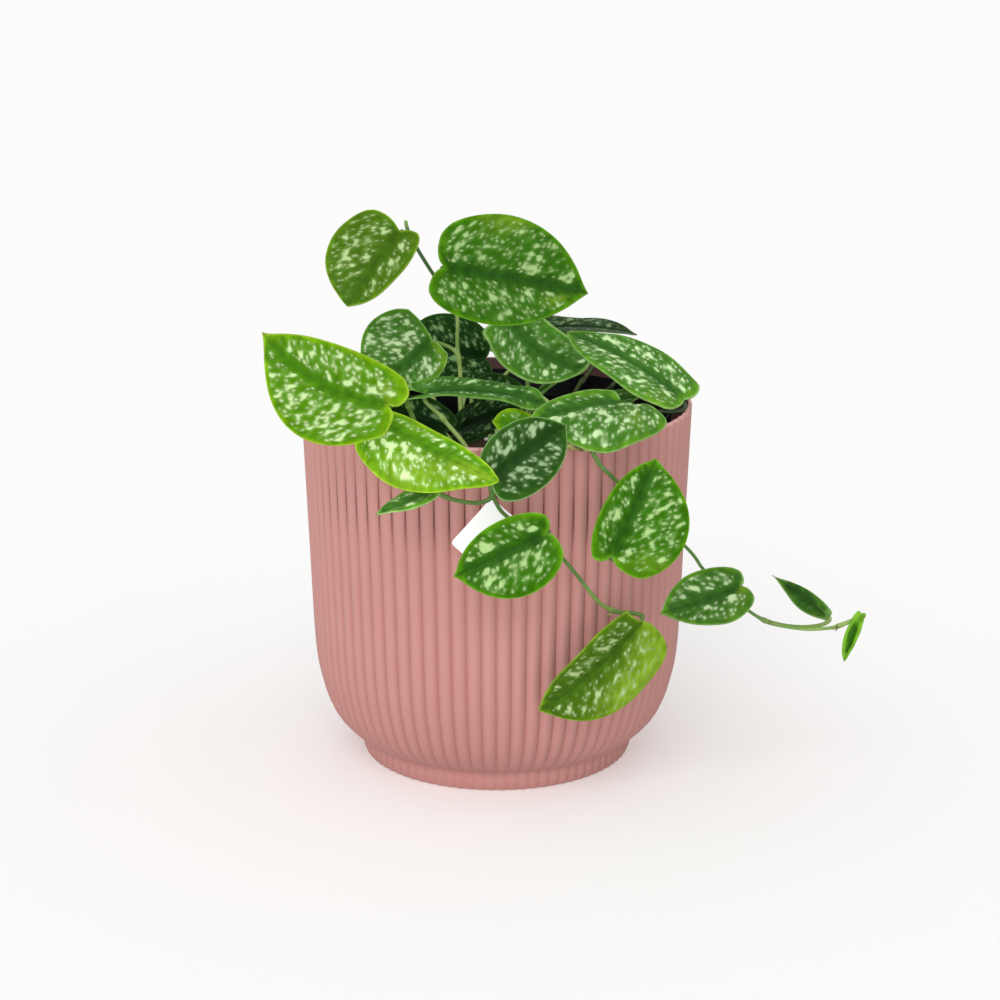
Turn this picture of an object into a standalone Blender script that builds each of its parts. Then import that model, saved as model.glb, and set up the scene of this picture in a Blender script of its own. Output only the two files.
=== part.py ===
"""Satin pothos in a ribbed planter.

The planter is a thin turned shell with fine upright ribs. A nursery pot full of
soil stands inside it. Stems rise from the soil; some stay upright, two trail over
the front rim and one over the back rim. Every leaf blade is its own thin shell that
sits at the end of a stalk. Tables are in millimetres: +X right, -Y front, +Z up,
with the origin on the floor under the middle of the planter.
"""
from math import atan2, cos, pi, radians, sin, sqrt, tan

import bmesh
import bpy
from mathutils import Vector

MM = 0.001

# planter
POT_OUTSIDE = [(48.6, 0.0), (49.7, 3.0), (50.4, 7.0), (55.2, 11.0), (60.2, 17.0),
               (64.0, 27.0), (66.5, 42.0), (68.0, 78.0), (70.0, 131.0)]
POT_INSIDE = [(68.2, 131.0), (65.6, 60.0), (60.6, 24.0), (46.0, 3.4)]
RIBS = 80
RIB_DEPTH = 0.9

# nursery pot, standing on the planter's floor
NURSERY_OUTSIDE = [(42.0, 3.8), (59.6, 117.0), (62.2, 117.6), (62.6, 128.0)]
NURSERY_INSIDE = [(61.4, 128.0), (61.0, 118.6), (58.4, 116.4), (41.2, 5.2)]
DRAIN_RADIUS = 4.0
DRAIN_CIRCLE = 26.0

# soil, filling the nursery pot
SOIL_SIDE = [(40.6, 5.6), (55.6, 102.0), (55.9, 104.0)]
SOIL_RIM = 104.0
SOIL_DOME = 3.0

# printed card tucked behind the front stem, left blank
LABEL_SIZE = (26.0, 0.5, 21.0)
LABEL_CENTRE = (1.3, -70.2, 97.5)
LABEL_TURN = 41.0

STEM_RADIUS = 1.05
STALK_RADIUS = 0.85
SHOOT_RADIUS = 1.3

# leaf blade
BLADE_THICKNESS = 0.8
BLADE_ROWS = 9
HALF_COLUMNS = 2
# one margin of the blade, from the notch to the tip: lengths along, half widths out
MARGIN = [(0.0, 0.0), (-0.062, 0.14), (-0.085, 0.36), (-0.066, 0.60), (0.06, 0.84),
          (0.22, 0.97), (0.40, 1.0), (0.58, 0.92), (0.74, 0.73), (0.87, 0.45),
          (0.95, 0.19), (1.0, 0.0)]


def leaf(base, tip, faces, width=0.8, skew=0.0, fold=12, arch=20, tone="mid",
         lobe=1.0, sway=0.0, full=0.0, lean=0.0):
    """Notch, tip and the side the blade faces; width as a share of the length,
    skew moves width from one half to the other, fold and arch are in degrees, lobe
    is how far the blade reaches behind its notch, lean moves that reach to one side,
    sway is how far the blade bows sideways, full rounds the outline where it is above
    0 and draws it to points below."""
    return dict(base=base, tip=tip, faces=faces, width=width, skew=skew,
                fold=fold, arch=arch, tone=tone, lobe=lobe, sway=sway,
                full=full, lean=lean)


LEAVES = {
    # crown
    "leaf_crown_1": leaf((-33.7, -6, 192.9), (-51.8, -22, 169.3), (-.2, -.9, .35), .85, -.29,
                         lobe=.72, full=.2),
    "leaf_crown_2": leaf((-18.4, -10, 180.9), (31.7, -22, 173.8), (.05, -.9, .35), .75, .1,
                         lobe=.92, full=-.07),
    # left
    "leaf_left_1": leaf((-35.8, -71, 146.1), (-76.1, -77, 172.1), (-.4, -.85, .35), .7, .12,
                        arch=6, tone="bright", lobe=1.01, full=-.25, sway=.1),
    "leaf_left_2": leaf((-38.6, -57, 137.5), (.9, -90, 125.2), (0, -.54, .82), .44, -.43, arch=8,
                        tone="bright", lobe=.55, full=.28, sway=-.03),
    "leaf_left_3": leaf((-20, -77, 118.6), (-39.7, -82, 111.6), (-.34, -.11, .88), .78, .05,
                        arch=5, tone="dark", lobe=.69, full=-.2, sway=.02),
    "leaf_left_4": leaf((-22.8, -4, 153.6), (-46.6, -20, 140), (-.1, -.85, .5), 1.01, -.26,
                        lobe=.21, full=-.31, sway=.07),
    # front
    "leaf_front_1": leaf((-1, -80.4, 123.8), (23.2, -71.5, 139.6), (.25, -.85, .45), .78, -.1,
                         tone="dark", lobe=.98, full=-.03, sway=.03),
    "leaf_front_2": leaf((42.3, -46.5, 141.8), (11, -63, 138.5), (.07, -.39, .78), .74, .54,
                         lobe=1.75, full=.35, lean=1),
    "leaf_front_3": leaf((-24.2, -34, 141.7), (17.5, -41, 138.9), (0, -.3, .95), .36, .09,
                         fold=18, arch=24, tone="dark", lobe=1.89, full=.48, sway=.03),
    "leaf_front_4": leaf((11.5, -44.9, 131), (-1.5, -49, 135), (0, -.7, .7), .9, tone="bright"),
    # right
    "leaf_right_1": leaf((65.7, -21, 135.9), (25.1, 3, 154.9), (.17, -.26, .91), .61, .1, arch=6,
                         lobe=.47, full=.15, sway=-.07),
    "leaf_right_2": leaf((5.2, 24, 154.6), (32.4, 0, 142), (-.2, -.68, .68), .62, -.1, arch=10,
                         lobe=1.77, full=.5, sway=-.11),
    "leaf_right_3": leaf((16, 27, 151), (52, 35, 147), (.1, 0, 1), .8, tone="dark"),
    "leaf_right_4": leaf((34, -26, 122.7), (57, -38, 134.5), (-.1, -.4, .9), .7),
    # trailing
    "leaf_trail_1": leaf((16.4, -82, 105.4), (-14.2, -84, 91), (0, -.9, .25), .77, .22, lobe=.89,
                         full=-.12),
    "leaf_trail_2": leaf((50.5, -61, 67), (14.3, -74, 40), (.3, -.87, -.1), .65, .26, 15, 10,
                         "bright", lobe=.3, full=.19, sway=.04, lean=.9),
    "leaf_trail_3": leaf((38.6, -72, 94.4), (53.2, -66, 126.7), (.1, -.95, .3), .85, -.35,
                         lobe=1.07),
    "leaf_trail_4": leaf((83.8, -58, 79.3), (55.4, -68, 72.7), (0, -.65, .75), .72, .05,
                         tone="dark", lobe=.76, full=-.12, sway=.03),
    "leaf_trail_5": leaf((115.8, -46, 64.8), (96.1, -40, 77.5), (.2, -.8, .5), .29, .23, fold=20,
                         tone="dark", lobe=.3, full=-.9),
    "leaf_trail_6": leaf((127, -45, 64), (121, -50, 49), (-.6, -.8, .2), .3, fold=40, tone="bright"),
    # inner
    "leaf_inner_1": leaf((-18, -24, 125.2), (-40, -16, 132), (-.1, -.5, .8), tone="dark"),
    "leaf_inner_2": leaf((-14, -14, 123), (8, -22, 133), (.1, -.5, .8), tone="dark"),
    "leaf_inner_3": leaf((8, -5, 130), (-8, 1.5, 138), (0, -.6, .7), tone="dark"),
    "leaf_inner_4": leaf((-4, 22, 141), (-34, 10, 150), (.1, -.7, .7), .88, tone="dark", lobe=.6),
    # back
    "leaf_back_1": leaf((-40, 20, 136), (-70, 36, 132), (-.3, .1, .9)),
    "leaf_back_2": leaf((-24, 46, 140), (-36, 84, 130), (-.2, .35, .9), .82, tone="bright"),
    "leaf_back_3": leaf((8, 48, 138), (14, 86, 130), (0, .4, .9)),
    "leaf_back_4": leaf((38, 42, 138), (50, 76, 126), (.3, .5, .8), tone="dark"),
    "leaf_back_5": leaf((44, 14, 136), (68, 32, 133), (.3, .1, .9), .75),
    "leaf_back_6": leaf((-46, -4, 138), (-76, 4, 134), (-.3, 0, .9), .7, tone="dark"),
    "leaf_back_7": leaf((-18, 81, 114), (-44, 78, 98), (-.15, .95, .3)),
    "leaf_back_8": leaf((-5, 82, 100), (20, 83, 82), (.1, .95, .3), .8, tone="dark"),
    "leaf_back_9": leaf((-3, 78, 75), (-10, 82, 44), (.1, .95, 0), .78, tone="bright"),
    # low, over the soil
    "leaf_low_1": leaf((-9, 46, 121), (-22, 45, 131), (-.2, .2, .95), .75, tone="dark"),
    "leaf_low_2": leaf((13, 44, 119), (30, 47, 132), (.1, .1, .95), .78),
    "leaf_low_3": leaf((-34, 6, 121), (-50, -16, 128), (-.2, -.3, .9), .75, tone="dark"),
    "leaf_low_4": leaf((30, 4, 125), (53, 6, 131), (.1, -.2, .95), .7, tone="dark"),
}

# each stem's run from the soil up, and where each leaf's stalk leaves it
STEMS = {
    "stem_crown": dict(
        run=[(-12, -2, 112), (-13, -2, 131), (-13, -1, 141), (-14, 0, 151), (-14, 1, 161),
             (-16, 1, 167), (-22, -1, 176), (-28, -2, 186), (-31, -2, 192), (-32, -2, 196)],
        stalks={"leaf_crown_1": (-30, -2, 190), "leaf_crown_2": (-14.5, 1, 163),
                "leaf_left_4": (-13.5, -.5, 146), "leaf_inner_4": (-12.5, -2, 124),
                "leaf_inner_2": (-12, -2, 114), "leaf_low_3": (-12, -2, 110)}),
    "stem_left": dict(
        run=[(-22, -30, 112), (-23, -32, 122), (-27, -39, 130), (-30.5, -42.5, 140)],
        stalks={"leaf_left_1": (-30.5, -42.5, 139.5), "leaf_left_2": (-23.5, -33, 124)}),
    "stem_inner": dict(
        run=[(-6, -38, 112), (-8, -39, 118), (-11, -38, 124), (-17, -36, 131), (-20, -35, 134.5)],
        stalks={"leaf_front_3": (-18.5, -35.5, 133), "leaf_inner_1": (-6.5, -38, 114)}),
    "stem_front": dict(
        run=[(4, -34, 112), (3, -40, 121), (0, -54, 130), (-2, -64, 133.6), (-2, -69.5, 134.2),
             (-2, -72.6, 131), (-2, -72.6, 120), (1, -72.6, 111), (8, -72.3, 105),
             (17, -72.2, 99), (23, -70, 92), (28, -67, 85), (35, -63, 75), (41, -60, 70.5)],
        stalks={"leaf_front_1": (-2, -72.6, 124), "leaf_left_3": (-2, -72.6, 118),
                "leaf_trail_1": (12, -73.2, 102.3), "leaf_trail_2": (39, -61, 72)}),
    "stem_right": dict(
        run=[(14, -30, 112), (16, -36, 121), (22, -48, 128), (27, -58, 132.8),
             (29.5, -64, 133.6), (31, -67.6, 131.6), (32.5, -69, 128.5), (35, -68.6, 124.5),
             (40, -66, 119), (52, -60, 106), (66, -55, 91), (71, -54, 84), (78, -53, 77),
             (86, -51, 69), (95, -49, 63), (107, -47, 60), (116, -46, 60), (120, -45.4, 60.8)],
        stalks={"leaf_front_4": (16, -40, 124), "leaf_front_2": (22, -48, 128),
                "leaf_trail_3": (62, -56.5, 95.5), "leaf_trail_4": (80, -52.5, 75),
                "leaf_trail_5": (93, -49.4, 64), "leaf_trail_6": (119, -45.6, 60.6)}),
    "stem_rim": dict(
        run=[(26, -8, 112), (29, -9, 119), (38, -12, 127), (48, -17, 131), (55, -21, 132)],
        stalks={"leaf_right_1": (52, -19.5, 131.8), "leaf_right_4": (27.5, -8.5, 116),
                "leaf_low_4": (26.5, -8, 113)}),
    "stem_middle": dict(
        run=[(12, 28, 112), (12, 29, 120), (11, 31, 134), (8, 32, 146), (5, 30, 151)],
        stalks={"leaf_right_2": (6, 31, 150), "leaf_right_3": (11, 31, 133),
                "leaf_inner_3": (12, 28.5, 117)}),
    "stem_back_left": dict(
        run=[(-20, 26, 112), (-22, 28, 120), (-25, 33, 127), (-27, 37, 130)],
        stalks={"leaf_back_1": (-24, 31, 124), "leaf_back_2": (-26, 35, 128.6),
                "leaf_back_6": (-21, 27, 116)}),
    "stem_back_right": dict(
        run=[(24, 26, 112), (26, 28, 120), (30, 34, 127), (33, 38, 130)],
        stalks={"leaf_back_4": (32, 36.5, 129), "leaf_back_5": (25, 27, 116),
                "leaf_low_2": (24, 26.5, 113)}),
    "stem_back": dict(
        run=[(0, 32, 112), (-2, 36, 120), (-4, 52, 129), (-6, 64, 133.6), (-7, 69.5, 134.2),
             (-9, 73.4, 130.5), (-12, 74.5, 120), (-14, 75, 108), (-12, 75, 96),
             (-7, 75, 87), (-5, 74.5, 82)],
        stalks={"leaf_back_3": (-2.5, 40, 123), "leaf_low_1": (-1, 34, 115), "leaf_back_7": (-12, 74.5, 119),
                "leaf_back_8": (-13.5, 75, 104), "leaf_back_9": (-5.6, 74.6, 84)}),
}
# a young shoot, still rolled, that leaves the right-hand stem
SHOOT = [(15, -38, 122), (20, -41, 131), (18, -37, 138), (11, -30, 142)]

SURFACES = {
    "pot": ((.60, .35, .31), .6),
    "nursery": ((.035, .035, .037), .5),
    "soil": ((.045, .028, .018), .95),
    "label": ((.86, .86, .86), .5),
    "stem": ((.20, .33, .08), .5),
    "bright": ((.27, .50, .03), .45),
    "mid": ((.06, .24, .02), .42),
    "dark": ((.03, .12, .025), .4),
}


def clear_scene():
    for thing in list(bpy.data.objects):
        bpy.data.objects.remove(thing, do_unlink=True)


def collection(name):
    group = bpy.data.collections.new(name)
    bpy.context.scene.collection.children.link(group)
    return group


def surface(name):
    """The named Principled material, made on first use."""
    if name in bpy.data.materials:
        return bpy.data.materials[name]
    colour, roughness = SURFACES[name]
    material = bpy.data.materials.new(name)
    material.use_nodes = True
    shader = material.node_tree.nodes["Principled BSDF"]
    shader.inputs["Base Color"].default_value = (*colour, 1.0)
    shader.inputs["Roughness"].default_value = roughness
    shader.inputs["Metallic"].default_value = 0.0
    return material


def add_object(name, mesh, group, finish):
    thing = bpy.data.objects.new(name, mesh)
    group.objects.link(thing)
    mesh.materials.clear()
    mesh.materials.append(surface(finish))
    return thing


def evaluated_mesh(thing):
    graph = bpy.context.evaluated_depsgraph_get()
    graph.update()
    return bpy.data.meshes.new_from_object(thing.evaluated_get(graph), depsgraph=graph)


def smooth(mesh, angle=35):
    mesh.shade_smooth()
    mesh.set_sharp_from_angle(angle=radians(angle))


def turned(name, profile, steps, group, finish):
    """A solid of revolution; the profile runs from the axis up the inside, over the
    rim and down the outside to the axis again."""
    mesh = bpy.data.meshes.new(name)
    points = [(r * MM, 0.0, z * MM) for r, z in profile]
    mesh.from_pydata(points, [(i, i + 1) for i in range(len(points) - 1)], [])
    thing = add_object(name, mesh, group, finish)
    screw = thing.modifiers.new("turn", "SCREW")
    screw.axis = "Z"
    screw.steps = screw.render_steps = steps
    screw.use_merge_vertices = True
    screw.merge_threshold = 0.00001
    solid = evaluated_mesh(thing)
    thing.modifiers.clear()
    thing.data = solid
    bpy.data.meshes.remove(mesh)
    solid.name = name
    solid.materials.clear()
    solid.materials.append(surface(finish))
    return thing


def profile_radius(profile, z):
    for (r0, z0), (r1, z1) in zip(profile, profile[1:]):
        if min(z0, z1) <= z <= max(z0, z1) and z0 != z1:
            return r0 + (r1 - r0) * (z - z0) / (z1 - z0)
    return profile[-1][0]


def planter(group):
    """Turned with two columns of points a rib, then every second column is drawn in."""
    profile = ([(0.0, POT_INSIDE[-1][1])] + POT_INSIDE[::-1] + POT_OUTSIDE[::-1]
               + [(0.0, 0.0)])
    pot = turned("pot", profile, 2 * RIBS, group, "pot")
    for vertex in pot.data.vertices:
        x, y, z = vertex.co
        r = sqrt(x * x + y * y)
        outside = profile_radius(POT_OUTSIDE, z / MM) * MM
        column = round(atan2(y, x) / (pi / RIBS))
        if column % 2 and abs(r - outside) < 0.0004:
            depth = RIB_DEPTH * MM * min(1.0, 0.3 + z / (12 * MM))
            vertex.co.x *= (r - depth) / r
            vertex.co.y *= (r - depth) / r
    smooth(pot.data, 50)
    return pot


def nursery_pot(group, cutters):
    profile = ([(0.0, NURSERY_INSIDE[-1][1])] + NURSERY_INSIDE[::-1] + NURSERY_OUTSIDE[::-1]
               + [(0.0, NURSERY_OUTSIDE[0][1])])
    pot = turned("nursery_pot", profile, 40, group, "nursery")
    smooth(pot.data)
    for quarter in range(4):
        turn = pi / 4 + quarter * pi / 2
        bpy.ops.mesh.primitive_cylinder_add(
            vertices=12, radius=DRAIN_RADIUS * MM, depth=0.01,
            location=(DRAIN_CIRCLE * MM * cos(turn), DRAIN_CIRCLE * MM * sin(turn), 0.0045))
        cutter = bpy.context.object
        cutter.name = f"drain_cutter_{quarter + 1}"
        cutter.hide_render = True
        cutter.display_type = "WIRE"
        for owner in list(cutter.users_collection):
            owner.objects.unlink(cutter)
        cutters.objects.link(cutter)
        cut = pot.modifiers.new("drain", "BOOLEAN")
        cut.operation = "DIFFERENCE"
        cut.object = cutter
    return pot


def soil_top(r):
    return SOIL_RIM + SOIL_DOME * (1 - min(1.0, r / SOIL_SIDE[-1][0]) ** 2)


def soil(group):
    rings = [SOIL_SIDE[-1][0] * k / 4 for k in range(4)]
    profile = ([(r, soil_top(r)) for r in rings] + SOIL_SIDE[::-1]
               + [(0.0, SOIL_SIDE[0][1])])
    ground = turned("soil", profile, 36, group, "soil")
    smooth(ground.data, 60)
    return ground


def plant_label(group):
    bpy.ops.mesh.primitive_cube_add(size=1)
    card = bpy.context.object
    card.name = card.data.name = "plant_label"
    for owner in list(card.users_collection):
        owner.objects.unlink(card)
    group.objects.link(card)
    for vertex in card.data.vertices:
        vertex.co = Vector([c * s * MM for c, s in zip(vertex.co, LABEL_SIZE)])
    card.location = [c * MM for c in LABEL_CENTRE]
    card.rotation_euler = (0.0, radians(LABEL_TURN), 0.0)
    card.data.materials.append(surface("label"))
    return card


def spline(points, t):
    """A point on the Catmull-Rom curve through the points, t from 0 to 1."""
    pts = [Vector(p) for p in points]
    pts = [2 * pts[0] - pts[1]] + pts + [2 * pts[-1] - pts[-2]]
    spans = len(pts) - 3
    k = min(int(t * spans), spans - 1)
    f = t * spans - k
    a, b, c, d = pts[k:k + 4]
    return 0.5 * (2 * b + (c - a) * f + (2 * a - 5 * b + 4 * c - d) * f ** 2
                  + (3 * b - a - 3 * c + d) * f ** 3)


def blade_frame(spec):
    """Unit vectors along the blade, across it and out of its face."""
    along = (Vector(spec["tip"]) - Vector(spec["base"])).normalized()
    out = Vector(spec["faces"])
    out = (out - along * out.dot(along)).normalized()
    return along, out.cross(along), out


def blade_point(spec, u, v):
    """A point of the blade in millimetres: u from notch to tip, v across, -1 to 1."""
    along, across, out = blade_frame(spec)
    chord = (Vector(spec["tip"]) - Vector(spec["base"])).length
    bend = radians(spec["arch"])
    length = chord * (bend / 2) / sin(bend / 2)
    margin = spline([(x, y, 0) for x, y in MARGIN], u)
    side = (1 if v >= 0 else -1)
    share = abs(v)
    reach = margin.x * (spec["lobe"] * (1 + side * spec["lean"]) if margin.x < 0 else 1)
    x = (u * (1 - share) + reach * share) * length
    half = max(0, margin.y) ** (1 - spec["full"])
    y = side * half * share * spec["width"] * length / 2 * (1 + side * spec["skew"])
    inward = min(1, max(0, x / length))
    bow = spec["sway"] * length * 4 * inward * (1 - inward)
    turn = bend * (x / length - 0.5)
    radius = length / bend
    crease = 0.04 * length
    lift = tan(radians(spec["fold"])) * (sqrt(y * y + crease * crease) - crease)
    x_bent = radius * (sin(turn) + sin(bend / 2)) + lift * sin(turn)
    z_bent = radius * (cos(turn) - cos(bend / 2)) + lift * cos(turn)
    return Vector(spec["base"]) + along * x_bent + across * (y + bow) + out * z_bent


def blade(name, spec, group):
    bm = bmesh.new()
    bmesh.ops.create_grid(bm, x_segments=BLADE_ROWS, y_segments=2 * HALF_COLUMNS, size=1.0)
    for vertex in bm.verts:
        vertex.co = blade_point(spec, (vertex.co.x + 1) / 2, vertex.co.y) * MM
    bmesh.ops.remove_doubles(bm, verts=bm.verts, dist=0.00001)
    mesh = bpy.data.meshes.new(name)
    bm.to_mesh(mesh)
    bm.free()
    smooth(mesh, 60)
    thing = add_object(name, mesh, group, spec["tone"])
    shell = thing.modifiers.new("thickness", "SOLIDIFY")
    shell.thickness = BLADE_THICKNESS * MM
    shell.offset = 0.0
    return thing


def tube(name, points, radius, group):
    """A round rod along the points, as a closed mesh."""
    curve = bpy.data.curves.new(name, "CURVE")
    curve.dimensions = "3D"
    curve.bevel_depth = radius * MM
    curve.bevel_resolution = 1
    curve.use_fill_caps = True
    path = curve.splines.new("POLY")
    path.points.add(len(points) - 1)
    for slot, point in zip(path.points, points):
        slot.co = (*(Vector(point) * MM), 1.0)
    rod = bpy.data.objects.new(name, curve)
    group.objects.link(rod)
    mesh = evaluated_mesh(rod)
    place = rod.matrix_world.copy()
    bpy.data.objects.remove(rod, do_unlink=True)
    bpy.data.curves.remove(curve)
    bm = bmesh.new()
    bm.from_mesh(mesh)
    bmesh.ops.remove_doubles(bm, verts=bm.verts, dist=0.00001)
    bmesh.ops.recalc_face_normals(bm, faces=bm.faces)
    bm.to_mesh(mesh)
    bm.free()
    solid = add_object(name, mesh, group, "stem")
    solid.matrix_world = place
    return solid


def stalk_path(start, heading, spec):
    """From the stem to just behind the blade's notch."""
    along, _, out = blade_frame(spec)
    bend = radians(spec["arch"] / 2)
    tilt_along = along * cos(bend) + out * sin(bend)
    tilt_out = out * cos(bend) - along * sin(bend)
    arrive = (0.8 * tilt_out + 0.6 * tilt_along).normalized()
    p0 = Vector(start)
    p3 = Vector(spec["base"]) - tilt_out * 1.3 + tilt_along * 0.2
    reach = (p3 - p0).length
    p1 = p0 + heading * reach * 0.4
    p2 = p3 - arrive * reach * 0.35
    path = []
    steps = max(4, min(8, round(reach / 3)))
    for k in range(steps + 1):
        t = k / steps
        path.append(p0 * (1 - t) ** 3 + 3 * p1 * t * (1 - t) ** 2
                    + 3 * p2 * t * t * (1 - t) + p3 * t ** 3)
    return path


def stem(name, spec, group, cutters):
    run = [Vector(p) for p in spec["run"]]
    foot = run[0].copy()
    foot.z = soil_top(sqrt(foot.x ** 2 + foot.y ** 2) - STEM_RADIUS) + 0.4
    run = [foot] + run
    count = 2 * (len(run) - 1)
    points = [foot] + [spline(run, k / count) for k in range(1, count + 1)]
    points[1].x, points[1].y = foot.x, foot.y
    body = tube(name, points, STEM_RADIUS, group)
    branches = []
    for leaf_name, start in spec["stalks"].items():
        start = Vector(start)
        near = min(range(len(points) - 1), key=lambda k: (points[k] - start).length)
        heading = (points[near + 1] - points[near]).normalized()
        # leave from the middle of the stem
        a, b = points[near], points[near + 1]
        share = max(0.0, min(1.0, (start - a).dot(b - a) / (b - a).length_squared))
        path = stalk_path(a.lerp(b, share), heading, LEAVES[leaf_name])
        branches.append(tube(name + leaf_name, path, STALK_RADIUS, cutters))
    if name == "stem_right":
        path = [spline(SHOOT, k / 8) for k in range(9)]
        branches.append(tube(name + "shoot", path, SHOOT_RADIUS * 0.6, cutters))
    for branch in branches:
        branch.hide_render = True
        branch.display_type = "WIRE"
        join = body.modifiers.new("join", "BOOLEAN")
        join.operation = "UNION"
        join.object = branch
    return body


clear_scene()
plant = collection("satin_pothos")
tools = collection("cutters")
planter(plant)
nursery_pot(plant, tools)
soil(plant)
plant_label(plant)
for stem_name, stem_spec in STEMS.items():
    stem(stem_name, stem_spec, plant, tools)
for leaf_name, leaf_spec in LEAVES.items():
    blade(leaf_name, leaf_spec, plant)
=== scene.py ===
# Satin pothos in a ribbed planter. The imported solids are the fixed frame. This script
# gives each of them its fine shape and finish, and sets up the studio around it.
# Lengths in the tables are millimetres: +X right, -Y front, +Z up.
import random
from math import cos, pi, radians, sin, sqrt

import bpy
import numpy as np
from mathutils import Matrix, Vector


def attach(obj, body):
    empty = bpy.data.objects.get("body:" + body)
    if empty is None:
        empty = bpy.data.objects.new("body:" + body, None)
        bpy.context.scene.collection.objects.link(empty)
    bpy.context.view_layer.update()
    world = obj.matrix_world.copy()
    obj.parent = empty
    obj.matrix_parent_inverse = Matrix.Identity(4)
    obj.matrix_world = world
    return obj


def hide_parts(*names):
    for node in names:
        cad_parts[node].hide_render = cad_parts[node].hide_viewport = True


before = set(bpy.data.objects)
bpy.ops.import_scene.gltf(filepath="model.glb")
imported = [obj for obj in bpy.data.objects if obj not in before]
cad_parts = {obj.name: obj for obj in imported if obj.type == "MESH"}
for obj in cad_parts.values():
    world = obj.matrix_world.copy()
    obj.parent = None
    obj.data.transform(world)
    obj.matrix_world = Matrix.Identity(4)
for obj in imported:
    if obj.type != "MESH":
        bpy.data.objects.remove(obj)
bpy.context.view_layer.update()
mm = 0.001
print("frame loaded:", len(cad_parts), "nodes")


def deselectAll():
    if bpy.context.mode != "OBJECT":
        bpy.ops.object.mode_set(mode="OBJECT")
    bpy.ops.object.select_all(action="DESELECT")


def pick(piece):
    deselectAll()
    piece.select_set(True)
    bpy.context.view_layer.objects.active = piece


def addModifier(piece, kind, **settings):
    modifier = piece.modifiers.new(kind.lower(), kind)
    for key, value in settings.items():
        setattr(modifier, key, value)
    return modifier


def applyModifiers(piece):
    pick(piece)
    for modifier in list(piece.modifiers):
        bpy.ops.object.modifier_apply(modifier=modifier.name)


def editAll(piece):
    pick(piece)
    bpy.ops.object.mode_set(mode="EDIT")
    bpy.ops.mesh.select_all(action="SELECT")


def closeSeams(piece, distance=0.00001):
    editAll(piece)
    bpy.ops.mesh.remove_doubles(threshold=distance)
    bpy.ops.mesh.normals_make_consistent(inside=False)
    bpy.ops.object.mode_set(mode="OBJECT")


def copyPiece(source):
    copy = source.copy()
    copy.data = source.data.copy()
    bpy.context.scene.collection.objects.link(copy)
    return copy


def joinPieces(pieces, name):
    pick(pieces[0])
    for piece in pieces:
        piece.select_set(True)
    bpy.ops.object.join()
    joined = bpy.context.object
    joined.name = joined.data.name = name
    return joined


def smoothShade(piece, angle=None):
    pick(piece)
    if angle is None:
        bpy.ops.object.shade_smooth()
    else:
        bpy.ops.object.shade_smooth_by_angle(angle=radians(angle))


def readPoints(mesh):
    points = np.empty(len(mesh.vertices) * 3)
    mesh.vertices.foreach_get("co", points)
    return points.reshape(-1, 3)


def writePoints(mesh, points):
    mesh.vertices.foreach_set("co", np.ascontiguousarray(points, float).ravel())
    mesh.update()


def writeAttribute(mesh, name, values):
    attribute = mesh.attributes.get(name) or mesh.attributes.new(name, "FLOAT", "POINT")
    attribute.data.foreach_set("value", np.ascontiguousarray(values, np.float32))


def smoothstep(low, high, value):
    t = np.clip((value - low) / (high - low), 0, 1)
    return t * t * (3 - 2 * t)


def spline(points, t):
    # a point on the smooth curve through the points, t from 0 to 1
    pts = [Vector(p) for p in points]
    pts = [2 * pts[0] - pts[1]] + pts + [2 * pts[-1] - pts[-2]]
    spans = len(pts) - 3
    k = min(int(t * spans), spans - 1)
    f = t * spans - k
    a, b, c, d = pts[k:k + 4]
    return 0.5 * (2 * b + (c - a) * f + (2 * a - 5 * b + 4 * c - d) * f ** 2
                  + (3 * b - a - 3 * c + d) * f ** 3)


def handOver(piece, slot, finish, *nodes):
    # the piece takes its finish, rides with the plant and stands for its solid
    piece.data.materials.clear()
    piece.data.materials.append(finish)
    piece.name = piece.data.name = piece.name.split(".")[0]
    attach(piece, "root")
    if nodes:
        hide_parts(*nodes)


def spinProfile(name, profile, steps, angle=2 * pi):
    # the outline is drawn point by point from one vertex, then spun about the upright
    deselectAll()
    r, z = profile[0]
    bpy.ops.mesh.primitive_plane_add(size=0.001, location=(0, 0, 0))
    piece = bpy.context.object
    bpy.ops.object.mode_set(mode="EDIT")
    bpy.ops.mesh.select_all(action="SELECT")
    bpy.ops.mesh.merge(type="CENTER")
    bpy.ops.transform.translate(value=(r * mm, 0, z * mm))
    for nextR, nextZ in profile[1:]:
        bpy.ops.mesh.extrude_region_move(
            TRANSFORM_OT_translate={"value": ((nextR - r) * mm, 0, (nextZ - z) * mm)})
        r, z = nextR, nextZ
    bpy.ops.mesh.select_all(action="SELECT")
    bpy.ops.mesh.spin(steps=steps, angle=angle, center=(0, 0, 0), axis=(0, 0, 1))
    bpy.ops.object.mode_set(mode="OBJECT")
    piece.name = piece.data.name = name
    return piece


class Value:
    # a socket that can be used in plain arithmetic; each step adds a Math node
    def __init__(self, finish, socket):
        self.finish, self.socket = finish, socket

    def maths(self, operation, first, second=0.0):
        return self.finish.node("ShaderNodeMath", {"operation": operation}, [first, second])

    def __add__(self, other):
        return self.maths("ADD", self, other)

    def __sub__(self, other):
        return self.maths("SUBTRACT", self, other)

    def __mul__(self, other):
        return self.maths("MULTIPLY", self, other)

    def __truediv__(self, other):
        return self.maths("DIVIDE", self, other)

    def __rsub__(self, other):
        return self.maths("SUBTRACT", other, self)

    __radd__, __rmul__ = __add__, __mul__

    def most(self, other):
        return self.maths("MAXIMUM", self, other)

    def step(self, low, high):
        # 0 below low, 1 above high, smooth between
        return self.finish.node(
            "ShaderNodeMapRange", {"interpolation_type": "SMOOTHSTEP"},
            {"Value": self, "From Min": low, "From Max": high})


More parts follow.
